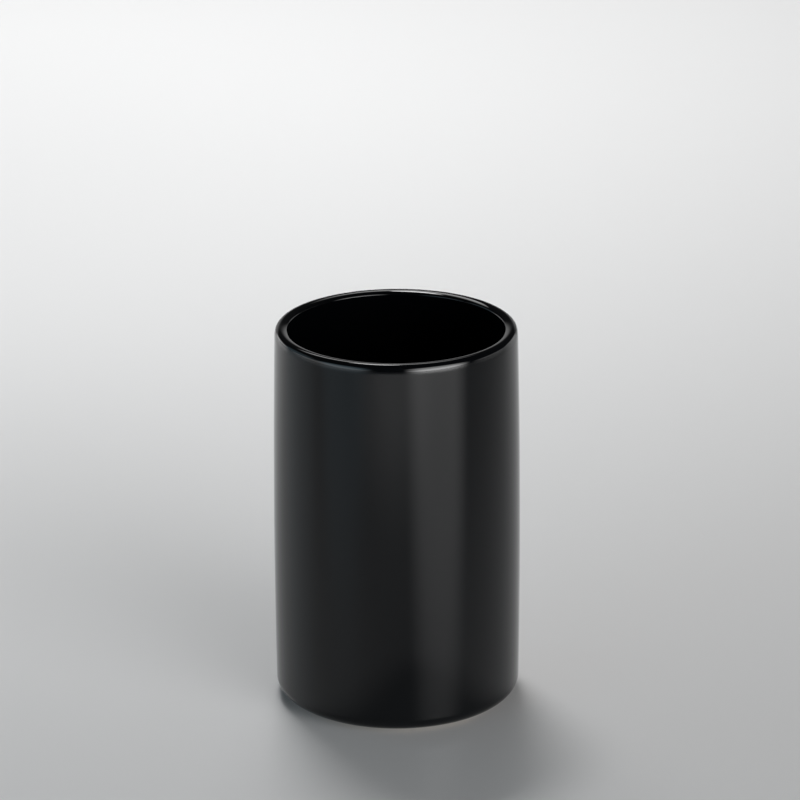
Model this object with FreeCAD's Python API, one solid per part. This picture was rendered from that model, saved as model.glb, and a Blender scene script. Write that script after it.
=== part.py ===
import FreeCAD, Part
import math
import os

# A bathroom tumbler for a washbasin shelf: an open stoneware cup under a thick gloss glaze, with a bare foot
# ring that it stood on in the kiln, and four soft stick-on pads that carry it clear of the shelf.
# Millimetres, +Z up. The origin is on the cup's axis, in the plane that the pads rest on.
# Sections are drawn in the XZ plane, with X as the distance from the axis, and spun round Z.

# Cup, measured over the glaze
HEIGHT = 102.0  # from the resting plane to the top of the lip
RIM_DIAMETER = 62.9  # the side carried on up to the level of the lip's top
BASE_DIAMETER = 64.3  # the side carried on down to the level of the glazed base
SIDE_BOW = 0.5  # swell of the side beyond a straight line, greatest at half its height
WALL = 3.4  # thickness of the side, the same all the way up
FLOOR = 5.0  # thickness from the glazed base to the inner floor
BASE_CORNER = 3.3  # radius between the side and the base
FLOOR_CORNER = 7.0  # radius between the inner side and the inner floor
GLAZE = 0.35  # thickness of the fired glaze

# Lip, from the outside in: a soft turn-in of the side, a tight edge, a domed top and a tighter inner edge
LIP_SHOULDER = 8.0  # radius of the turn-in under the lip
LIP_LEAN_ANGLE = 13.0  # degrees that the side has turned in where the outer edge starts
LIP_OUTER_SHARE = 0.41  # radius of the lip's outer edge, as a share of the wall
LIP_INNER_SHARE = 0.21  # radius of the lip's inner edge, as a share of the wall
LIP_DROP_SHARE = 0.31  # from the lip's top down to the centre of its inner edge, as a share of the wall

# Bare foot ring under the base
FOOT_RING_INSET = 1.8  # from the end of the base's corner in to the ring
FOOT_RING_WIDTH = 3.6
FOOT_RING_HEIGHT = 0.8  # from the ring's face up to the glazed base outside it
FOOT_RING_EDGE_SHARE = 0.5  # radius of the ring's edges, as a share of its height
FOOT_RECESS = 1.4  # from the ring's face up to the glazed recess inside it

# Soft pads in the recess
PAD_COUNT = 4
PAD_DIAMETER = 8.0
PAD_PROUD = 0.6  # how far the pads stand out below the ring
PAD_GAP = 1.0  # between a pad and the ring
PAD_EDGE_SHARE = 0.5  # radius of a pad's edge, as a share of its thickness

JOIN_TOLERANCE = 1e-6  # ends of a section closer than this already meet
FULL_TURN = 2 * math.pi
HALF_TURN = FULL_TURN / 2
QUARTER_TURN = FULL_TURN / 4
ORIGIN = FreeCAD.Vector(0, 0, 0)
AXIS = FreeCAD.Vector(0, 0, 1)


def at(x, z):
    """A point of a section."""
    return FreeCAD.Vector(x, 0, z)


def toward(angle):
    """A direction in a section, with its angle from +X towards +Z."""
    return at(math.cos(angle), math.sin(angle))


# Levels
RING_LEVEL = PAD_PROUD
BASE_LEVEL = RING_LEVEL + FOOT_RING_HEIGHT
RECESS_LEVEL = RING_LEVEL + FOOT_RECESS
FLOOR_LEVEL = BASE_LEVEL + FLOOR


def side_arc():
    """Centre and radius of the shallow arc that the outer side follows."""
    base = at(BASE_DIAMETER / 2, BASE_LEVEL)
    rim = at(RIM_DIAMETER / 2, HEIGHT)
    chord = rim - base
    half_chord = chord.Length / 2
    radius = (half_chord**2 + SIDE_BOW**2) / (2 * SIDE_BOW)
    outward = at(chord.z, -chord.x).normalize()
    centre = (base + rim) / 2 + outward * (SIDE_BOW - radius)
    return centre, radius


SIDE_CENTRE, SIDE_RADIUS = side_arc()


def corner(level, reach):
    """Centre of a round corner at a level, and its direction from the side's centre at that reach."""
    rise = level - SIDE_CENTRE.z
    run = math.sqrt(reach**2 - rise**2)
    return at(SIDE_CENTRE.x + run, level), math.atan2(rise, run)


# Round corners at the base and the inner floor, each tangent to the side
BASE_CENTRE, BASE_ANGLE = corner(BASE_LEVEL + BASE_CORNER, SIDE_RADIUS - BASE_CORNER)
FLOOR_CENTRE, FLOOR_ANGLE = corner(FLOOR_LEVEL + FLOOR_CORNER, SIDE_RADIUS - WALL - FLOOR_CORNER)

# The lip's bends, each tangent to the next. The shoulder and the inner edge meet the side, and the dome is
# highest over the outer edge's centre.
LIP_OUTER = WALL * LIP_OUTER_SHARE
LIP_INNER = WALL * LIP_INNER_SHARE
LIP_DROP = WALL * LIP_DROP_SHARE
LIP_LEAN = math.radians(LIP_LEAN_ANGLE)
SHOULDER_TO_EDGE = toward(LIP_LEAN) * (LIP_SHOULDER - LIP_OUTER)
SHOULDER_LEVEL = HEIGHT - LIP_OUTER - SHOULDER_TO_EDGE.z
SHOULDER_CENTRE, SHOULDER_ANGLE = corner(SHOULDER_LEVEL, SIDE_RADIUS - LIP_SHOULDER)
LIP_OUTER_CENTRE = SHOULDER_CENTRE + SHOULDER_TO_EDGE
LIP_INNER_CENTRE, LIP_INNER_ANGLE = corner(HEIGHT - LIP_DROP, SIDE_RADIUS - WALL + LIP_INNER)
DOME_REACH = LIP_OUTER_CENTRE.x - LIP_INNER_CENTRE.x
DOME = (LIP_DROP**2 + DOME_REACH**2 - LIP_INNER**2) / (2 * (LIP_DROP - LIP_INNER))
DOME_CENTRE = at(LIP_OUTER_CENTRE.x, HEIGHT - DOME)
DOME_ANGLE = math.atan2(LIP_INNER_CENTRE.z - DOME_CENTRE.z, -DOME_REACH)

# Foot ring and pads, placed from the end of the base's corner inwards
RING_OUTER_RADIUS = BASE_CENTRE.x - FOOT_RING_INSET
RING_INNER_RADIUS = RING_OUTER_RADIUS - FOOT_RING_WIDTH
RING_EDGE = FOOT_RING_HEIGHT * FOOT_RING_EDGE_SHARE
PAD_RADIUS = PAD_DIAMETER / 2
PAD_CIRCLE_RADIUS = RING_INNER_RADIUS - PAD_GAP - PAD_RADIUS
PAD_EDGE = RECESS_LEVEL * PAD_EDGE_SHARE


def arc(centre, radius, start, end):
    """An arc of a section, between two angles."""

    def on(angle):
        return centre + toward(angle) * radius

    return Part.Arc(on(start), on((start + end) / 2), on(end))


def ends(step):
    """Where a step of a section starts and ends, which for a point is the same place."""
    if isinstance(step, FreeCAD.Vector):
        return step, step
    return step.StartPoint, step.EndPoint


def spin(path):
    """Solid of a closed section spun round Z, with straight lines between steps that don't already meet."""
    edges = []
    here = ends(path[-1])[1]
    for step in path:
        start, end = ends(step)
        if not here.isEqual(start, JOIN_TOLERANCE):
            edges.append(Part.makeLine(here, start))
        if not isinstance(step, FreeCAD.Vector):
            edges.append(step.toShape())
        here = end
    return Part.Face(Part.Wire(edges)).revolve(ORIGIN, AXIS, math.degrees(FULL_TURN))


def skin(depth):
    """Bends of the cup's face at a depth under the glaze, from the inner floor over the lip to the base."""
    inner_side = SIDE_RADIUS - WALL + depth
    return [
        (FLOOR_CENTRE, FLOOR_CORNER + depth, -QUARTER_TURN, FLOOR_ANGLE),
        (SIDE_CENTRE, inner_side, FLOOR_ANGLE, LIP_INNER_ANGLE),
        (LIP_INNER_CENTRE, LIP_INNER - depth, LIP_INNER_ANGLE + HALF_TURN, DOME_ANGLE),
        (DOME_CENTRE, DOME - depth, DOME_ANGLE, QUARTER_TURN),
        (LIP_OUTER_CENTRE, LIP_OUTER - depth, QUARTER_TURN, LIP_LEAN),
        (SHOULDER_CENTRE, LIP_SHOULDER - depth, LIP_LEAN, SHOULDER_ANGLE),
        (SIDE_CENTRE, SIDE_RADIUS - depth, SHOULDER_ANGLE, BASE_ANGLE),
        (BASE_CENTRE, BASE_CORNER - depth, BASE_ANGLE, -QUARTER_TURN),
    ]


def stoneware_body():
    """The fired clay cup: the glaze's underside all over, and the bare foot ring."""
    clay = [arc(*bend) for bend in skin(GLAZE)]
    ring_outer_edge = at(RING_OUTER_RADIUS - RING_EDGE, RING_LEVEL + RING_EDGE)
    ring_inner_edge = at(RING_INNER_RADIUS + RING_EDGE, RING_LEVEL + RING_EDGE)
    ring = [
        at(RING_OUTER_RADIUS, BASE_LEVEL + GLAZE),
        arc(ring_outer_edge, RING_EDGE, 0, -QUARTER_TURN),
        arc(ring_inner_edge, RING_EDGE, -QUARTER_TURN, -HALF_TURN),
        at(RING_INNER_RADIUS, RECESS_LEVEL + GLAZE),
    ]
    return spin([at(0, FLOOR_LEVEL - GLAZE), *clay, *ring, at(0, RECESS_LEVEL + GLAZE)])


def glaze_coat():
    """The glaze over the inside, the lip and the outside, which ends against the foot ring."""
    gloss_face = [arc(*bend) for bend in skin(0)]
    clay_face = [arc(centre, radius, end, start) for centre, radius, start, end in reversed(skin(GLAZE))]
    ending = [at(RING_OUTER_RADIUS, BASE_LEVEL), at(RING_OUTER_RADIUS, BASE_LEVEL + GLAZE)]
    return spin([at(0, FLOOR_LEVEL), *gloss_face, *ending, *clay_face, at(0, FLOOR_LEVEL - GLAZE)])


def base_glaze():
    """The glaze left in the recess inside the foot ring."""
    lower = [at(0, RECESS_LEVEL), at(RING_INNER_RADIUS, RECESS_LEVEL)]
    upper = [at(RING_INNER_RADIUS, RECESS_LEVEL + GLAZE), at(0, RECESS_LEVEL + GLAZE)]
    return spin(lower + upper)


def foot_pad(number):
    """One soft pad, stuck to the glaze in the recess, with a rounded edge round its flat resting face."""
    edge_centre = at(PAD_RADIUS - PAD_EDGE, PAD_EDGE)
    edge = arc(edge_centre, PAD_EDGE, -QUARTER_TURN, 0)
    pad = spin([at(0, 0), edge, at(PAD_RADIUS, RECESS_LEVEL), at(0, RECESS_LEVEL)])
    pad.translate(at(PAD_CIRCLE_RADIUS, 0))
    step = FULL_TURN / PAD_COUNT
    pad.rotate(ORIGIN, AXIS, math.degrees(step / 2 + number * step))
    return pad


pieces = {
    "stoneware_body": stoneware_body(),
    "glaze_coat": glaze_coat(),
    "base_glaze": base_glaze(),
}
for number in range(PAD_COUNT):
    pieces[f"foot_pad_{number + 1}"] = foot_pad(number)

os.makedirs("parts", exist_ok=True)
for name, shape in pieces.items():
    shape.exportStep(f"parts/{name}.step")
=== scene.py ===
import math

import bmesh
import bpy
from mathutils import Matrix, Vector, noise


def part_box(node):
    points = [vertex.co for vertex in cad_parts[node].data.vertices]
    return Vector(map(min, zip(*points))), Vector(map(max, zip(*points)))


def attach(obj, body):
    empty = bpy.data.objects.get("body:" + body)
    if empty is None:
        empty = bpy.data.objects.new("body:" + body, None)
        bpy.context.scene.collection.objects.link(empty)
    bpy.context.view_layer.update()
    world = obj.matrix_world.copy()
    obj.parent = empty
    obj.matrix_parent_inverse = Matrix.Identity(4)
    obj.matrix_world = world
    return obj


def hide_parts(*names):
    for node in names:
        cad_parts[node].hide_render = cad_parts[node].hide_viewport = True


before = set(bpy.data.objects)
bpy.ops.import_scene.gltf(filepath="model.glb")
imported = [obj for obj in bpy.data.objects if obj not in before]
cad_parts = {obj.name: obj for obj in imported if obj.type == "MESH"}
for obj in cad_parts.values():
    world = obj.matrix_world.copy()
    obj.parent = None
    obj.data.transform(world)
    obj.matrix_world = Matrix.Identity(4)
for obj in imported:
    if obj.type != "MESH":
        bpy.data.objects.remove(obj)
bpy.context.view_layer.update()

# A bathroom tumbler: a stoneware cup in gloss black glaze, with a bare foot ring and soft pads under it.
# Metres, +Z up, with the cup's axis on Z and the shelf at zero. The photograph looks along +Y.

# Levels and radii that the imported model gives
COAT_LOW, COAT_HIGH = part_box("glaze_coat")
CLAY_LOW, CLAY_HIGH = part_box("stoneware_body")
RECESS_LOW, RECESS_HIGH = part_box("base_glaze")
RIM_LEVEL = COAT_HIGH.z
BASE_LEVEL = COAT_LOW.z
RING_LEVEL = CLAY_LOW.z
RECESS_LEVEL = RECESS_LOW.z
GLAZE = RIM_LEVEL - CLAY_HIGH.z
RING_INNER_RADIUS = RECESS_HIGH.x

# The cup's other sizes, measured over the glaze
RIM_RADIUS = 0.03145  # the side carried on up to the level of the lip's top
BASE_RADIUS = 0.03215  # the side carried on down to the level of the glazed base
SIDE_BOW = 0.0005  # swell of the side beyond a straight line
WALL = 0.0034
FLOOR = 0.005  # from the glazed base to the inner floor
BASE_CORNER = 0.0033
FLOOR_CORNER = 0.007
RING_WIDTH = 0.0036
RING_EDGE = 0.0004
RING_OUTER_RADIUS = RING_INNER_RADIUS + RING_WIDTH
FLOOR_LEVEL = BASE_LEVEL + FLOOR
PAD_COUNT = 4
PAD_EDGE_SHARE = 0.5  # radius of a pad's edge, as a share of its thickness

# The lip's sizes
LIP_SHOULDER = 0.008  # radius of the turn-in under the lip
LIP_LEAN = math.radians(13)  # how far the side has turned in where the outer edge starts
LIP_OUTER_SHARE = 0.41  # radius of the outer edge, as a share of the wall
LIP_INNER_SHARE = 0.21  # radius of the inner edge, as a share of the wall
LIP_DROP_SHARE = 0.31  # from the top down to the centre of the inner edge, as a share of the wall
LIP_OUTER = WALL * LIP_OUTER_SHARE
LIP_INNER = WALL * LIP_INNER_SHARE
LIP_DROP = WALL * LIP_DROP_SHARE

# Where the glaze ends at the foot ring: outside as a rolled bead, in the recess as a fillet up to the ring
BEAD_RADIUS = 0.00032
BEAD_SAG = 0.00008  # how far the bead hangs below the glazed base
BEAD_REACH = 0.0011  # from the ring out to where the glaze starts to swell
BEAD_START = math.radians(-70)  # direction from the bead's centre to where its round starts
FILLET = 0.00055

# How finely the round forms are cut
TURN_STEPS = 192
SIDE_STEPS = 48
CLAY_SIDE_STEPS = 12  # under the glaze, where the side is out of sight
CORNER_STEPS = 14
EDGE_STEPS = 6
PAD_TURN_STEPS = 72
SHARP_ANGLE = math.radians(50)  # edges that turn more than this stay sharp

# Unevenness of the fired glaze
WAVE_HEIGHT = 0.00002
WAVE_LENGTH = 0.018

QUARTER_TURN = math.pi / 2
HALF_TURN = math.pi
FULL_TURN = 2 * math.pi
UP = Vector((0, 0, 1))
SECTION_NORMAL = Vector((0, -1, 0))
SAME_PLACE = 1e-7  # points closer than this are merged


def at(x, z):
    """A point of a section, x from the axis."""
    return Vector((x, 0, z))


def toward(angle):
    """Direction in a section, from +X towards +Z."""
    return at(math.cos(angle), math.sin(angle))


def side_arc():
    """Centre and radius of the shallow arc of the outer side."""
    base = at(BASE_RADIUS, BASE_LEVEL)
    rim = at(RIM_RADIUS, RIM_LEVEL)
    chord = rim - base
    radius = ((chord.length / 2) ** 2 + SIDE_BOW**2) / (2 * SIDE_BOW)
    outward = at(chord.z, -chord.x).normalized()
    return (base + rim) / 2 + outward * (SIDE_BOW - radius), radius


SIDE_CENTRE, SIDE_RADIUS = side_arc()


def corner(level, reach):
    """Centre of a round corner that is tangent to the side, and its direction from the side's centre."""
    rise = level - SIDE_CENTRE.z
    run = math.sqrt(reach**2 - rise**2)
    return at(SIDE_CENTRE.x + run, level), math.atan2(rise, run)


# The lip, from the outside in: a soft turn-in, a tight edge, a domed top and a tighter inner edge
SHOULDER_TO_EDGE = toward(LIP_LEAN) * (LIP_SHOULDER - LIP_OUTER)
SHOULDER_LEVEL = RIM_LEVEL - LIP_OUTER - SHOULDER_TO_EDGE.z
SHOULDER_CENTRE, SHOULDER_ANGLE = corner(SHOULDER_LEVEL, SIDE_RADIUS - LIP_SHOULDER)
LIP_OUTER_CENTRE = SHOULDER_CENTRE + SHOULDER_TO_EDGE
LIP_INNER_CENTRE, LIP_INNER_ANGLE = corner(RIM_LEVEL - LIP_DROP, SIDE_RADIUS - WALL + LIP_INNER)
DOME_REACH = LIP_OUTER_CENTRE.x - LIP_INNER_CENTRE.x
DOME = (LIP_DROP**2 + DOME_REACH**2 - LIP_INNER**2) / (2 * (LIP_DROP - LIP_INNER))
DOME_CENTRE = at(LIP_OUTER_CENTRE.x, RIM_LEVEL - DOME)
DOME_ANGLE = math.atan2(LIP_INNER_CENTRE.z - DOME_CENTRE.z, -DOME_REACH)

BASE_CENTRE, BASE_ANGLE = corner(BASE_LEVEL + BASE_CORNER, SIDE_RADIUS - BASE_CORNER)
FLOOR_CENTRE, FLOOR_ANGLE = corner(FLOOR_LEVEL + FLOOR_CORNER, SIDE_RADIUS - WALL - FLOOR_CORNER)


def cup_skin(depth, side_steps):
    """Bends of the cup's face at a depth under the glaze, from the inner floor over the lip to the base."""
    return [
        (FLOOR_CENTRE, FLOOR_CORNER + depth, -QUARTER_TURN, FLOOR_ANGLE, CORNER_STEPS),
        (SIDE_CENTRE, SIDE_RADIUS - WALL + depth, FLOOR_ANGLE, LIP_INNER_ANGLE, side_steps),
        (LIP_INNER_CENTRE, LIP_INNER - depth, LIP_INNER_ANGLE + HALF_TURN, DOME_ANGLE, CORNER_STEPS),
        (DOME_CENTRE, DOME - depth, DOME_ANGLE, QUARTER_TURN, CORNER_STEPS),
        (LIP_OUTER_CENTRE, LIP_OUTER - depth, QUARTER_TURN, LIP_LEAN, CORNER_STEPS),
        (SHOULDER_CENTRE, LIP_SHOULDER - depth, LIP_LEAN, SHOULDER_ANGLE, CORNER_STEPS),
        (SIDE_CENTRE, SIDE_RADIUS - depth, SHOULDER_ANGLE, BASE_ANGLE, side_steps),
        (BASE_CENTRE, BASE_CORNER - depth, BASE_ANGLE, -QUARTER_TURN, CORNER_STEPS),
    ]


def reversed_bends(bends):
    """The same bends, drawn the other way."""
    return [(centre, radius, end, start, steps) for centre, radius, start, end, steps in reversed(bends)]


def turned_mesh(path, turn_steps):
    """A bmesh of a section, drawn as points and bends in order, spun round the axis."""
    bm = bmesh.new()
    last = None
    for step in path:
        if isinstance(step, Vector):
            first = end = bm.verts.new(step)
        else:
            centre, radius, start_angle, end_angle, steps = step
            first = bm.verts.new(centre + toward(start_angle) * radius)
            sweep = end_angle - start_angle
            bend = bmesh.ops.spin(
                bm, geom=[first], cent=centre, axis=SECTION_NORMAL, angle=sweep, steps=steps
            )
            end = next(part for part in bend["geom_last"] if isinstance(part, bmesh.types.BMVert))
        if last is not None:
            bm.edges.new((last, first))
        last = end
    bmesh.ops.remove_doubles(bm, verts=bm.verts, dist=SAME_PLACE)
    wire = bm.verts[:] + bm.edges[:]
    bmesh.ops.spin(
        bm, geom=wire, cent=(0, 0, 0), axis=UP, angle=FULL_TURN, steps=turn_steps, use_merge=True
    )
    bmesh.ops.remove_doubles(bm, verts=bm.verts, dist=SAME_PLACE)
    bmesh.ops.recalc_face_normals(bm, faces=bm.faces)
    return bm


def uneven(bm):
    """Leaves a glaze faintly wavy, as it is where it ran and cooled."""
    bm.normal_update()
    for vert in bm.verts:
        vert.co += vert.normal * (WAVE_HEIGHT * noise.noise(vert.co / WAVE_LENGTH))


def piece(name, bm, material, slot, *nodes):
    """Finishes a bmesh as a smooth piece of the cup that stands for CAD nodes."""
    mesh = bpy.data.meshes.new(name)
    bm.to_mesh(mesh)
    bm.free()
    mesh.shade_smooth()
    mesh.set_sharp_from_angle(angle=SHARP_ANGLE)
    mesh.materials.append(material)
    obj = bpy.data.objects.new(name, mesh)
    bpy.context.scene.collection.objects.link(obj)
    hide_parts(*nodes)
    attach(obj, "root")


# The part of a noise's range that it mostly stays in
NOISE_LOW = 0.3
NOISE_HIGH = 0.7


class Finish:
    """A node material being wired: makes nodes by type, and links sockets by name."""

    def __init__(self, name):
        self.material = bpy.data.materials.new(name)
        self.material.use_nodes = True
        self.tree = self.material.node_tree
        self.shader = self.tree.nodes["Principled BSDF"]
        self.place = self.add("ShaderNodeTexCoord").outputs["Object"]

    def add(self, kind, inputs=(), **settings):
        """A node, with its settings, and with values or outputs given to its inputs."""
        node = self.tree.nodes.new(kind)
        for key, value in settings.items():
            setattr(node, key, value)
        for socket, value in dict(inputs).items():
            self.give(node.inputs[socket], value)
        return node

    def give(self, socket, value):
        """Links an output to a socket, or sets the socket's own value."""
        if isinstance(value, bpy.types.NodeSocket):
            self.tree.links.new(value, socket)
        else:
            socket.default_value = value

    def shade(self, name, value):
        """Gives a value or an output to one of the shader's own inputs."""
        self.give(self.shader.inputs[name], value)

    def noise(self, scale, detail=2.0, rough=0.5):
        """Noise on the object's own coordinates, scale in cycles per metre."""
        return self.add(
            "ShaderNodeTexNoise",
            {"Vector": self.place, "Scale": scale, "Detail": detail, "Roughness": rough},
        ).outputs["Fac"]

    def span(self, value, low, high, to_low, to_high):
        """A value mapped from one range to another, held at its ends."""
        return self.add(
            "ShaderNodeMapRange",
            {"Value": value, "From Min": low, "From Max": high, "To Min": to_low, "To Max": to_high},
        ).outputs["Result"]

    def roughness(self, pattern, low, high):
        """Lets the shader's roughness wander between two values with a noise."""
        self.shade("Roughness", self.span(pattern, NOISE_LOW, NOISE_HIGH, low, high))

    def blend(self, factor, low, high):
        """One colour turning into another with a factor."""
        mix = self.add("ShaderNodeMix", data_type="RGBA")
        for name, value in (("Factor_Float", factor), ("A_Color", low), ("B_Color", high)):
            socket = next(socket for socket in mix.inputs if socket.identifier == name)
            self.give(socket, value)
        return next(socket for socket in mix.outputs if socket.identifier == "Result_Color")

    def bump(self, height, strength, distance, below=None):
        """A bump from a height, over another bump if one is given."""
        inputs = {"Height": height, "Strength": strength, "Distance": distance}
        if below is not None:
            inputs["Normal"] = below
        return self.add("ShaderNodeBump", inputs).outputs["Normal"]


# Colours of the pieces
GLAZE_DARK = (0.0009, 0.0012, 0.0017, 1)
GLAZE_LIGHT = (0.0016, 0.002, 0.0026, 1)
CLAY_DARK = (0.54, 0.46, 0.35, 1)
CLAY_LIGHT = (0.70, 0.62, 0.50, 1)
IRON_SPECK = (0.16, 0.09, 0.05, 1)
TOASTED_CLAY = (0.33, 0.20, 0.11, 1)
PAD_DARK = (0.66, 0.66, 0.62, 1)
PAD_LIGHT = (0.80, 0.80, 0.77, 1)

GLAZE_IOR = 1.4
PAD_IOR = 1.45
PAD_CLEARNESS = 0.25

# Iron specks show where their noise is high, and the clay is toasted from the foot ring up to the glaze
SPECK_LOW = 0.68
SPECK_HIGH = 0.74
SPECK_STRENGTH = 0.75
TOAST_START = RING_LEVEL + 0.0004
TOAST_END = BASE_LEVEL + 0.0001
TOAST_STRENGTH = 0.8
TOAST_WANDER = 0.0005


def black_glaze():
    """High-gloss black glaze, a little uneven in gloss and with a very fine orange peel."""
    finish = Finish("black_glaze")
    finish.shade("IOR", GLAZE_IOR)
    finish.shade("Base Color", finish.blend(finish.noise(90, detail=3), GLAZE_DARK, GLAZE_LIGHT))
    finish.roughness(finish.noise(160), low=0.03, high=0.06)
    finish.shade("Normal", finish.bump(finish.noise(380, detail=1), strength=0.5, distance=0.000004))
    return finish.material


def bare_stoneware():
    """Bare fired clay, buff and fine-grained, with iron specks, sponge lines and a toasted edge."""
    finish = Finish("bare_stoneware")
    body = finish.blend(finish.noise(220, detail=4, rough=0.6), CLAY_DARK, CLAY_LIGHT)
    speck = finish.span(finish.noise(2600, detail=1), SPECK_LOW, SPECK_HIGH, 0, SPECK_STRENGTH)
    specked = finish.blend(speck, body, IRON_SPECK)
    level = finish.add("ShaderNodeSeparateXYZ", {"Vector": finish.place}).outputs["Z"]
    uneven_level = finish.add(
        "ShaderNodeMath",
        {0: finish.noise(500, detail=3), 1: TOAST_WANDER, 2: level},
        operation="MULTIPLY_ADD",
    ).outputs["Value"]
    toast = finish.span(uneven_level, TOAST_START, TOAST_END, 0, TOAST_STRENGTH)
    finish.shade("Base Color", finish.blend(toast, specked, TOASTED_CLAY))
    finish.roughness(finish.noise(900), low=0.78, high=0.95)
    grit = finish.bump(finish.noise(3200, detail=3, rough=0.65), strength=0.6, distance=0.00005)
    sponged = finish.add(
        "ShaderNodeTexWave",
        {"Vector": finish.place, "Scale": 420.0, "Distortion": 1.5, "Detail": 2.0, "Detail Scale": 0.6},
        wave_type="RINGS",
        rings_direction="Z",
    ).outputs["Fac"]
    finish.shade("Normal", finish.bump(sponged, strength=0.35, distance=0.00004, below=grit))
    return finish.material


def soft_pad():
    """Cloudy clear elastomer with a satin skin."""
    finish = Finish("soft_pad")
    finish.shade("IOR", PAD_IOR)
    finish.shade("Transmission Weight", PAD_CLEARNESS)
    finish.shade("Base Color", finish.blend(finish.noise(700, detail=3), PAD_DARK, PAD_LIGHT))
    finish.roughness(finish.noise(1500), low=0.32, high=0.46)
    finish.shade("Normal", finish.bump(finish.noise(2400), strength=0.4, distance=0.00002))
    return finish.material


def glaze_coat(material):
    """The glaze over the inside, the lip and the outside, with a bead where it stops at the foot ring."""
    gloss = cup_skin(0, SIDE_STEPS)
    clay = reversed_bends(cup_skin(GLAZE, CLAY_SIDE_STEPS))
    bead_centre = at(RING_OUTER_RADIUS + BEAD_RADIUS, BASE_LEVEL + BEAD_RADIUS - BEAD_SAG)
    ending = [
        at(RING_OUTER_RADIUS + BEAD_REACH, BASE_LEVEL),
        (bead_centre, BEAD_RADIUS, BEAD_START, -HALF_TURN, EDGE_STEPS),
        at(RING_OUTER_RADIUS, BASE_LEVEL + GLAZE),
    ]
    bm = turned_mesh([at(0, FLOOR_LEVEL), *gloss, *ending, *clay, at(0, FLOOR_LEVEL - GLAZE)], TURN_STEPS)
    uneven(bm)
    piece("glaze_coat_gloss", bm, material, "black_glaze", "glaze_coat")


def base_glaze(material):
    """The glaze in the recess, which climbs the foot ring a little."""
    fillet_centre = at(RING_INNER_RADIUS - FILLET, RECESS_LEVEL - FILLET)
    path = [
        at(0, RECESS_LEVEL),
        (fillet_centre, FILLET, QUARTER_TURN, 0, EDGE_STEPS),
        at(RING_INNER_RADIUS, RECESS_LEVEL + GLAZE),
        at(0, RECESS_LEVEL + GLAZE),
    ]
    bm = turned_mesh(path, TURN_STEPS)
    piece("base_glaze_gloss", bm, material, "black_glaze", "base_glaze")


def stoneware(material):
    """The clay cup, bare only at its foot ring."""
    clay = cup_skin(GLAZE, CLAY_SIDE_STEPS)
    outer_edge = at(RING_OUTER_RADIUS - RING_EDGE, RING_LEVEL + RING_EDGE)
    inner_edge = at(RING_INNER_RADIUS + RING_EDGE, RING_LEVEL + RING_EDGE)
    ring = [
        at(RING_OUTER_RADIUS, BASE_LEVEL + GLAZE),
        (outer_edge, RING_EDGE, 0, -QUARTER_TURN, EDGE_STEPS),
        (inner_edge, RING_EDGE, -QUARTER_TURN, -HALF_TURN, EDGE_STEPS),
        at(RING_INNER_RADIUS, RECESS_LEVEL + GLAZE),
    ]
    path = [at(0, FLOOR_LEVEL - GLAZE), *clay, *ring, at(0, RECESS_LEVEL + GLAZE)]
    bm = turned_mesh(path, TURN_STEPS)
    piece("stoneware_clay", bm, material, "stoneware", "stoneware_body")


def foot_pads(material):
    """The soft pads in the recess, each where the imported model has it."""
    for number in range(1, PAD_COUNT + 1):
        low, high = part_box(f"foot_pad_{number}")
        radius = (high.x - low.x) / 2
        thickness = high.z - low.z
        edge = thickness * PAD_EDGE_SHARE
        path = [
            at(0, 0),
            (at(radius - edge, edge), edge, -QUARTER_TURN, 0, EDGE_STEPS),
            at(radius, thickness),
            at(0, thickness),
        ]
        bm = turned_mesh(path, PAD_TURN_STEPS)
        centre = (low + high) / 2
        bmesh.ops.translate(bm, verts=bm.verts, vec=(centre.x, centre.y, low.z))
        piece(f"foot_pad_{number}_soft", bm, material, "soft_pad", f"foot_pad_{number}")


# Floor of the stage
FLOOR_REACH = 4.0
FLOOR_COLOUR = (0.9, 0.9, 0.9, 1)
FLOOR_ROUGHNESS = 0.17
FLOOR_SPECULAR = 0.4


def pale_floor():
    """A plain pale floor for the cup to stand on."""
    finish = Finish("pale_floor")
    finish.shade("Base Color", FLOOR_COLOUR)
    finish.shade("Roughness", FLOOR_ROUGHNESS)
    finish.shade("Specular IOR Level", FLOOR_SPECULAR)
    bm = bmesh.new()
    bmesh.ops.create_grid(bm, x_segments=1, y_segments=1, size=FLOOR_REACH)
    mesh = bpy.data.meshes.new("floor")
    bm.to_mesh(mesh)
    bm.free()
    mesh.materials.append(finish.material)
    floor = bpy.data.objects.new("floor", mesh)
    bpy.context.scene.collection.objects.link(floor)


# Studio light
NEUTRAL = (1, 1, 1)
COOL = (0.6, 0.85, 1)
WORLD_COLOUR = (0.03, 0.03, 0.03, 1)

# A softbox glows most at a place low on its face, and fades out towards its sides and its top
SOFTBOX_EDGE = 0.6  # share of the way from that place to the sides and the top over which it fades
SOFTBOX_LOW = 0.45  # from that place down to the lower edge, as a share of the way up to the top
SOFTBOX_GAP = 0.01  # under a softbox that stands on the floor

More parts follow.
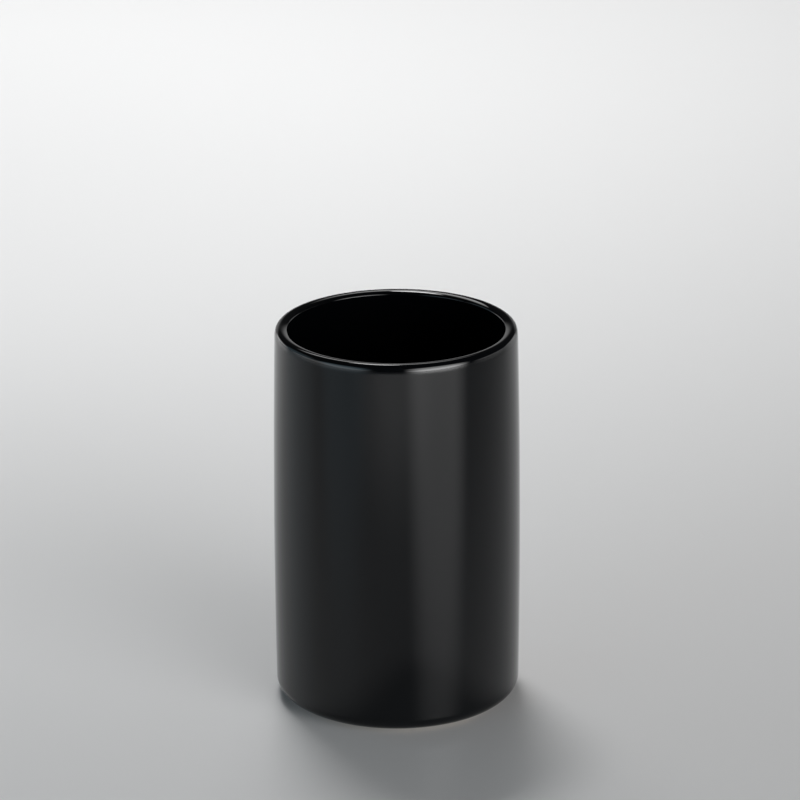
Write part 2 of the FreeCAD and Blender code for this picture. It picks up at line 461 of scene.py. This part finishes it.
# Softboxes that stand round the cup and face its axis: x, y, width, height, watts and colour.
# The low strips show in the lip's edge and hardly light the floor.
STANDING_SOFTBOXES = {
    "back_strip": (-0.1, 1.6, 2.4, 0.7, 2.4, NEUTRAL),
    "back_left_strip": (-1.13, 1.13, 1.2, 0.45, 3.2, NEUTRAL),
    "back_right_strip": (1.13, 1.13, 1.2, 0.45, 1.8, NEUTRAL),
    "front_right_softbox": (0.94, -1.17, 2.0, 0.95, 35, NEUTRAL),
    "front_right_strip": (0.88, -1.095, 1.9, 0.22, 8, NEUTRAL),
    "left_strip": (-1.3, -0.53, 3.4, 0.22, 3.5, NEUTRAL),
    "right_strip": (1.38, 0.24, 1.6, 0.22, 1.2, NEUTRAL),
    "front_left_softbox": (-1.15, -0.95, 1.8, 0.7, 6, COOL),
    "left_softbox": (-1.46, 0.34, 1.6, 1.0, 2.8, COOL),
}


def hang(name, lamp, place, target):
    """Hangs a lamp at a place, aimed at a target."""
    obj = bpy.data.objects.new(name, lamp)
    bpy.context.scene.collection.objects.link(obj)
    obj.location = place
    backward = Vector(place) - Vector(target)
    obj.rotation_euler = backward.to_track_quat("Z", "Y").to_euler()


def softbox(name, place, target, width, height, watts, colour=NEUTRAL):
    """A softbox that is brightest low on its face."""
    lamp = bpy.data.lights.new(name, "AREA")
    lamp.shape = "RECTANGLE"
    lamp.size = width
    lamp.size_y = height
    lamp.energy = watts
    lamp.color = colour
    lamp.use_nodes = True
    tree = lamp.node_tree
    face = tree.nodes.new("ShaderNodeNewGeometry")
    # The glow's coordinates are 0 at its brightest place and reach 1 at the sides and the top of the face
    centred = tree.nodes.new("ShaderNodeMapping")
    centred.inputs["Location"].default_value = (-1, -SOFTBOX_LOW, 0)
    centred.inputs["Scale"].default_value = (2, 1 + SOFTBOX_LOW, 0)
    glow = tree.nodes.new("ShaderNodeTexGradient")
    glow.gradient_type = "SPHERICAL"
    soft = tree.nodes.new("ShaderNodeMapRange")
    soft.interpolation_type = "SMOOTHSTEP"
    soft.inputs["From Max"].default_value = SOFTBOX_EDGE
    tree.links.new(face.outputs["Parametric"], centred.inputs["Vector"])
    tree.links.new(centred.outputs["Vector"], glow.inputs["Vector"])
    tree.links.new(glow.outputs["Fac"], soft.inputs["Value"])
    tree.links.new(soft.outputs["Result"], tree.nodes["Emission"].inputs["Strength"])
    hang(name, lamp, place, target)


def floor_spot(name, place, target, radius, cone, blend, watts):
    """A soft spot that lights the floor, cone in degrees."""
    lamp = bpy.data.lights.new(name, "SPOT")
    lamp.shadow_soft_size = radius
    lamp.spot_size = math.radians(cone)
    lamp.spot_blend = blend
    lamp.energy = watts
    hang(name, lamp, place, target)


def lights():
    """Plain soft studio light."""
    floor_spot(
        "back_spot", (-0.3, 1.05, 2.0), (-0.25, 0.52, 0), radius=0.35, cone=34, blend=0.4, watts=116
    )
    floor_spot(
        "far_spot", (0.2, 1.5, 2.0), (0.2, 0.9, 0), radius=0.35, cone=32, blend=0.7, watts=58
    )
    floor_spot(
        "front_spot", (0, -0.85, 1.6), (-0.015, -0.43, 0), radius=0.08, cone=14.5, blend=0.5, watts=100
    )
    softbox("back_softbox", (-0.2, 1.21, 1.55), (0, 0, 0.1), width=1.5, height=0.7, watts=14)
    for name, (x, y, width, height, watts, colour) in STANDING_SOFTBOXES.items():
        level = height / 2 + SOFTBOX_GAP
        softbox(name, (x, y, level), (0, 0, level), width, height, watts, colour)
    world = bpy.data.worlds.new("studio")
    world.use_nodes = True
    world.node_tree.nodes["Background"].inputs["Color"].default_value = WORLD_COLOUR
    bpy.context.scene.world = world


# Camera, as fitted to the photograph
LENS = 171.24
SENSOR = 36.0
CAMERA_PLACE = Vector((0, -0.93005, 0.41945))
CAMERA_PITCH = math.radians(19.968)
CAMERA_YAW = math.radians(0.056)
CAMERA_ROLL = math.radians(0.241)


def camera():
    """A long lens from a little above, as the photograph was taken."""
    data = bpy.data.cameras.new("camera")
    data.lens = LENS
    data.sensor_width = SENSOR
    obj = bpy.data.objects.new("camera", data)
    bpy.context.scene.collection.objects.link(obj)
    turn = Matrix.Rotation(-CAMERA_YAW, 4, "Z")
    tilt = Matrix.Rotation(QUARTER_TURN - CAMERA_PITCH, 4, "X")
    roll = Matrix.Rotation(-CAMERA_ROLL, 4, "Z")
    obj.matrix_world = Matrix.Translation(CAMERA_PLACE) @ turn @ tilt @ roll
    bpy.context.scene.camera = obj


glaze = black_glaze()
glaze_coat(glaze)
base_glaze(glaze)
stoneware(bare_stoneware())
foot_pads(soft_pad())
pale_floor()
lights()
camera()
bpy.context.scene.view_settings.view_transform = "Standard"
